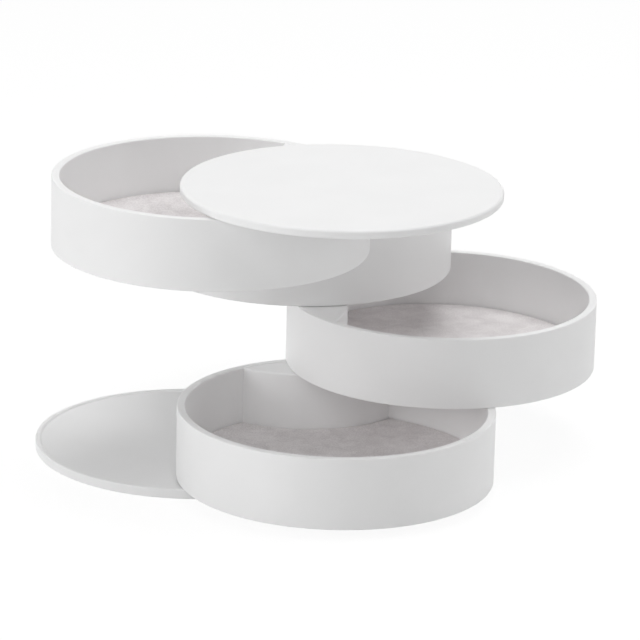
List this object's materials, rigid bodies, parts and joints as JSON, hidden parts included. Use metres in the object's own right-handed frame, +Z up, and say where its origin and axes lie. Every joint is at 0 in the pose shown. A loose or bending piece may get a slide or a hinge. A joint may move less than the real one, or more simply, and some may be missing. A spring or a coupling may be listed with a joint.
{
  "type": "rotating jewellery box",
  "caption": "White round jewellery box whose stacked trays and lid swing out sideways about one hidden upright pivot, each tray lined with grey velour.",
  "frame": {"origin": "where the pivot bolt's axis meets the table, on the grip pad's underside", "axes": "+Z up along the pivot bolt's axis, +Y away from the front, +X to the right as seen from the front"},
  "size_m": [0.1887, 0.1893, 0.1028],
  "materials": {
    "white_abs": "satin injection-moulded ABS",
    "grey_velour": "short-pile velour on board",
    "zinc_plated_steel": "bright zinc plate",
    "spring_steel": "phosphated spring steel",
    "white_acetal": "natural acetal, self-lubricating",
    "grey_silicone": "matt silicone sheet"
  },
  "bodies": {
    "root": {"base_plate": "white_abs", "base_grip_pad": "grey_silicone", "pivot_bolt": "zinc_plated_steel", "hub_disc_spring": "spring_steel", "hub_lock_nut": "zinc_plated_steel"},
    "tray_1_level": {"tray_1": "white_abs", "velour_liner_1": "grey_velour", "pivot_cap_1": "white_abs", "friction_washer_1": "white_acetal"},
    "tray_2_level": {"tray_2": "white_abs", "velour_liner_2": "grey_velour", "pivot_cap_2": "white_abs", "friction_washer_2": "white_acetal"},
    "tray_3_level": {"tray_3": "white_abs", "velour_liner_3": "grey_velour", "pivot_cap_3": "white_abs", "friction_washer_3": "white_acetal"},
    "tray_4_level": {"tray_4": "white_abs", "velour_liner_4": "grey_velour", "pivot_cap_4": "white_abs", "friction_washer_4": "white_acetal"},
    "lid_level": {"lid": "white_abs", "lid_hub": "white_abs", "hub_washer": "white_acetal"}
  },
  "joints": [
    {"name": "lid_swing", "type": "hinge", "parent": "root", "child": "lid_level", "pos_m": [0, 0, 0.1], "axis": [0, 0, 1], "continuous": true},
    {"name": "tray_1_swing", "type": "hinge", "parent": "root", "child": "tray_1_level", "pos_m": [0, 0, 0.0759], "axis": [0, 0, 1], "continuous": true},
    {"name": "tray_2_swing", "type": "hinge", "parent": "root", "child": "tray_2_level", "pos_m": [0, 0, 0.0518], "axis": [0, 0, 1], "continuous": true},
    {"name": "tray_3_swing", "type": "hinge", "parent": "root", "child": "tray_3_level", "pos_m": [0, 0, 0.0277], "axis": [0, 0, 1], "continuous": true},
    {"name": "tray_4_swing", "type": "hinge", "parent": "root", "child": "tray_4_level", "pos_m": [0, 0, 0.0036], "axis": [0, 0, 1], "continuous": true}
  ]
}
